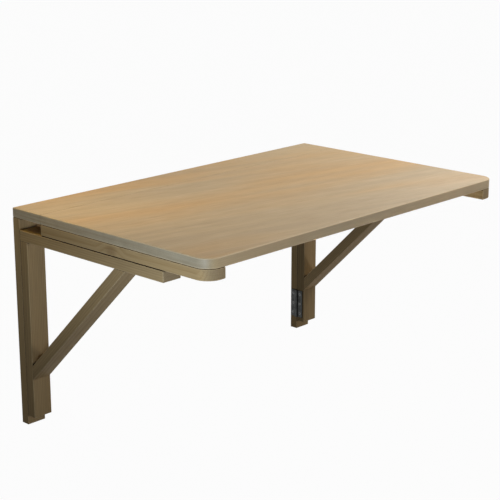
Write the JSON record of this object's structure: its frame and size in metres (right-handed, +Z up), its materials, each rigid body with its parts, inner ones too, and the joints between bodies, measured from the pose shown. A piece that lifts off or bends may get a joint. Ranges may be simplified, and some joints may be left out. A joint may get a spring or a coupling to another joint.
{
  "type": "wall-mounted folding desk",
  "caption": "Pine wall desk whose hinged leaf rests on swing-out triangular brackets that fold flat against a wall frame.",
  "frame": {"origin": "on the wall plane, at mid-width, on the row of wall screws at mid-height of the rail", "axes": "+X to the right of someone facing the wall, +Y into the wall, +Z up"},
  "size_m": [0.8, 0.5, 0.418],
  "materials": {
    "top_pine": "oiled edge-glued pine board",
    "strip_pine": "oiled planed pine strip",
    "hinge_steel": "plain rolled steel with a fine brushed grain",
    "screw_steel": "bright zinc-plated steel"
  },
  "bodies": {
    "wall_frame": {"back_shelf": "top_pine", "bracket_hinge_left_lower_fixed_plate": "hinge_steel", "bracket_hinge_left_lower_pin": "hinge_steel", "bracket_hinge_left_upper_fixed_plate": "hinge_steel", "bracket_hinge_left_upper_pin": "hinge_steel", "bracket_hinge_post_screws_left": "screw_steel", "bracket_hinge_post_screws_right": "screw_steel", "bracket_hinge_right_lower_fixed_plate": "hinge_steel", "bracket_hinge_right_lower_pin": "hinge_steel", "bracket_hinge_right_upper_fixed_plate": "hinge_steel", "bracket_hinge_right_upper_pin": "hinge_steel", "desk_hinge_left_fixed_plate": "hinge_steel", "desk_hinge_left_pin": "hinge_steel", "desk_hinge_right_fixed_plate": "hinge_steel", "desk_hinge_right_pin": "hinge_steel", "desk_hinge_shelf_screws": "screw_steel", "wall_post_left": "strip_pine", "wall_post_right": "strip_pine", "wall_rail": "strip_pine"},
    "leaf": {"batten_left": "strip_pine", "batten_right": "strip_pine", "batten_screws_left": "screw_steel", "batten_screws_right": "screw_steel", "desk_hinge_leaf_screws": "screw_steel", "desk_hinge_left_moving_plate": "hinge_steel", "desk_hinge_right_moving_plate": "hinge_steel", "leaf_board": "top_pine"},
    "bracket_left": {"arm_left": "strip_pine", "brace_left": "strip_pine", "bracket_hinge_left_lower_moving_plate": "hinge_steel", "bracket_hinge_left_upper_moving_plate": "hinge_steel", "bracket_hinge_stile_screws_left": "screw_steel", "stile_left": "strip_pine"},
    "bracket_right": {"arm_right": "strip_pine", "brace_right": "strip_pine", "bracket_hinge_right_lower_moving_plate": "hinge_steel", "bracket_hinge_right_upper_moving_plate": "hinge_steel", "bracket_hinge_stile_screws_right": "screw_steel", "stile_right": "strip_pine"}
  },
  "joints": [
    {"name": "leaf_lift", "type": "hinge", "parent": "wall_frame", "child": "leaf", "pos_m": [0, -0.07925, 0.0172], "axis": [-1, 0, 0], "range_deg": [0, 1]},
    {"name": "bracket_left_swing", "type": "hinge", "parent": "wall_frame", "child": "bracket_left", "pos_m": [-0.3572, -0.01825, 0], "axis": [0, 0, 1], "range_deg": [0, 90]},
    {"name": "bracket_right_swing", "type": "hinge", "parent": "wall_frame", "child": "bracket_right", "pos_m": [0.3572, -0.01825, 0], "axis": [0, 0, -1], "range_deg": [0, 83]}
  ]
}
